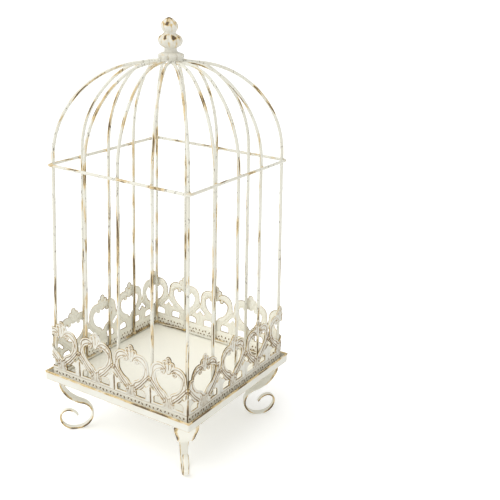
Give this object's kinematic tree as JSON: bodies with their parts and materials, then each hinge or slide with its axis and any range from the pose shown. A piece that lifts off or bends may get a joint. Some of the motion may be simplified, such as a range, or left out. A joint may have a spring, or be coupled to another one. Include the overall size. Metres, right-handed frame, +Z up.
{
  "type": "wedding card box",
  "caption": "Wire birdcage card box with a square domed cage that lifts off a shallow tray on scroll legs, with a pierced heart gallery and a turned finial.",
  "frame": {"origin": "on the ground under the centre of the four scroll feet", "axes": "+Z up through the finial; -Y is the front, +X the right-hand side"},
  "size_m": [0.2314, 0.2314, 0.5371],
  "materials": {
    "tray_paint": "antiqued ivory paint, satin",
    "leg_paint": "antiqued ivory paint rubbed to gold and brown on the edges",
    "gallery_paint": "antiqued ivory paint with gold-brown wash in the embossing",
    "wire_paint": "antiqued ivory paint, rubbed and chipped",
    "finial_paint": "antiqued ivory paint with dark brown chips on the ribs",
    "screw_steel": "zinc-plated"
  },
  "bodies": {
    "base": {"tray_pan": "tray_paint", "front_right_leg": "leg_paint", "back_right_leg": "leg_paint", "back_left_leg": "leg_paint", "front_left_leg": "leg_paint"},
    "cage": {"front_gallery": "gallery_paint", "right_gallery": "gallery_paint", "back_gallery": "gallery_paint", "left_gallery": "gallery_paint", "front_foot_wire": "wire_paint", "right_foot_wire": "wire_paint", "back_foot_wire": "wire_paint", "left_foot_wire": "wire_paint", "front_bar_a": "wire_paint", "front_bar_b": "wire_paint", "front_bar_c": "wire_paint", "right_bar_a": "wire_paint", "right_bar_b": "wire_paint", "right_bar_c": "wire_paint", "back_bar_a": "wire_paint", "back_bar_b": "wire_paint", "back_bar_c": "wire_paint", "left_bar_a": "wire_paint", "left_bar_b": "wire_paint", "left_bar_c": "wire_paint", "front_right_corner_bar": "wire_paint", "back_right_corner_bar": "wire_paint", "back_left_corner_bar": "wire_paint", "front_left_corner_bar": "wire_paint", "front_hoop_wire": "wire_paint", "right_hoop_wire": "wire_paint", "back_hoop_wire": "wire_paint", "left_hoop_wire": "wire_paint", "crown_disc": "wire_paint", "finial_cap": "finial_paint", "finial": "finial_paint", "finial_screw": "screw_steel"}
  },
  "joints": [
    {"name": "cage_lift", "type": "slide", "parent": "base", "child": "cage", "axis": [0, 0, 1], "range_m": [0, 0.15]}
  ]
}
